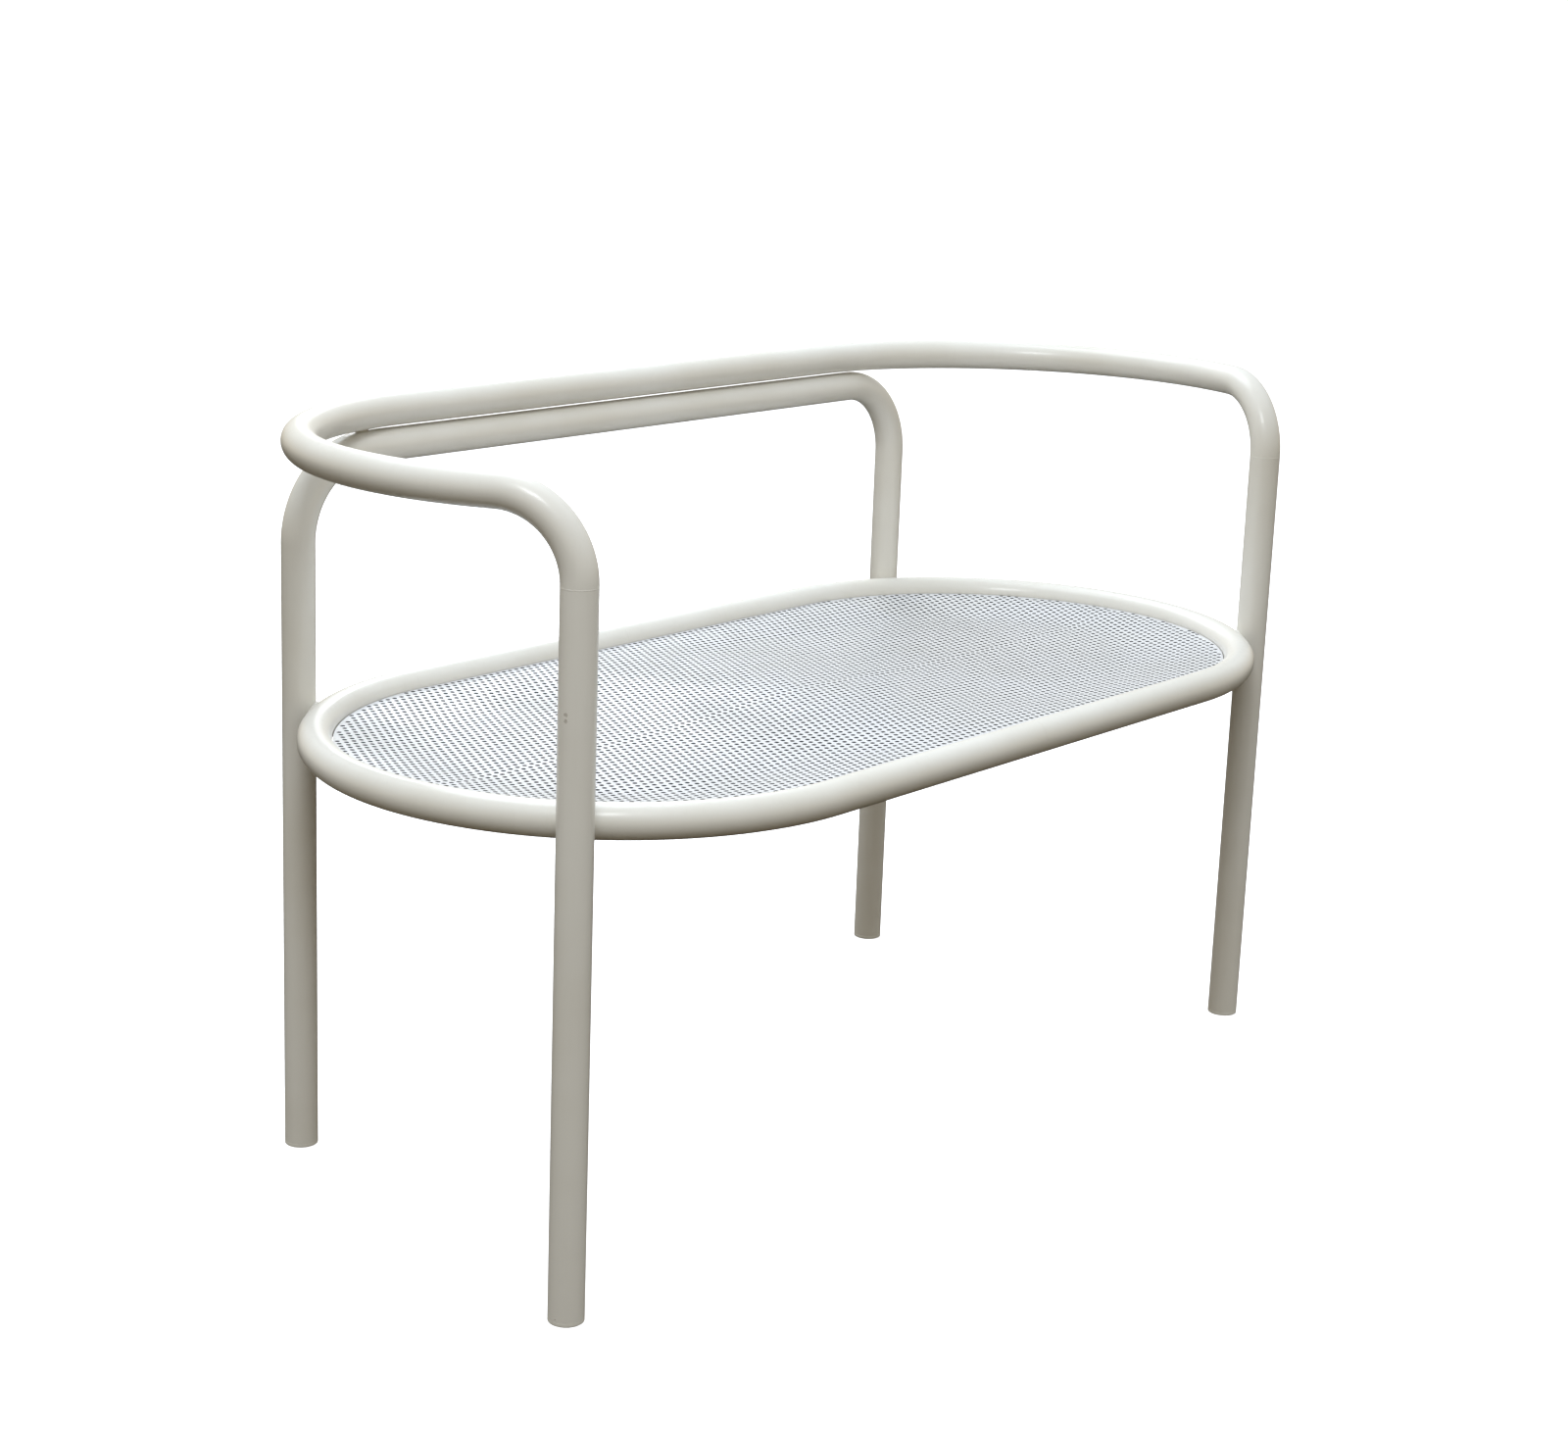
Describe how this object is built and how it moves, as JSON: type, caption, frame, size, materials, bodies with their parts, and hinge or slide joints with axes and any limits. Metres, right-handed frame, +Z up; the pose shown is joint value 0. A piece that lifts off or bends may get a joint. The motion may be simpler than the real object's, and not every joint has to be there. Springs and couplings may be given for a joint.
{
  "type": "garden bench",
  "caption": "Garden bench of bent steel tube: a low rail sweeps round as back and arms above an oval ring seat of perforated sheet.",
  "frame": {"origin": "on the ground, below the middle of the seat ring, which is the middle of the whole bench in plan", "axes": "+Z up, +X along the length of the bench, +Y towards the back rail; a sitter faces -Y"},
  "size_m": [1.2716, 0.6004, 0.7668],
  "materials": {
    "frame_paint": "semi-gloss warm off-white enamel, lightly worn",
    "weld_paint": "the same enamel over weld bead",
    "panel_paint": "semi-gloss pale enamel on perforated sheet",
    "sleeve_steel": "bare steel, hidden inside the tube",
    "plug_plastic": "pale moulded plastic"
  },
  "bodies": {
    "root": {"back_arm_rail": "frame_paint", "front_left_leg": "frame_paint", "front_right_leg": "frame_paint", "rear_hoop": "frame_paint", "seat_ring_left": "frame_paint", "seat_ring_right": "frame_paint", "seat_crossbar": "frame_paint", "weld_front_left": "weld_paint", "weld_front_right": "weld_paint", "weld_rear_left": "weld_paint", "weld_rear_right": "weld_paint", "rail_weld_left": "weld_paint", "leg_seam_weld_left": "weld_paint", "leg_seam_weld_right": "weld_paint", "ring_seam_weld_front": "weld_paint", "ring_seam_weld_rear": "weld_paint", "panel_tack_welds": "weld_paint", "crossbar_weld_front": "weld_paint", "crossbar_weld_rear": "weld_paint", "ring_sleeve_front": "sleeve_steel", "ring_sleeve_rear": "sleeve_steel", "seat_panel": "panel_paint", "foot_front_left": "plug_plastic", "foot_front_right": "plug_plastic", "foot_rear_left": "plug_plastic", "foot_rear_right": "plug_plastic"}
  },
  "joints": []
}
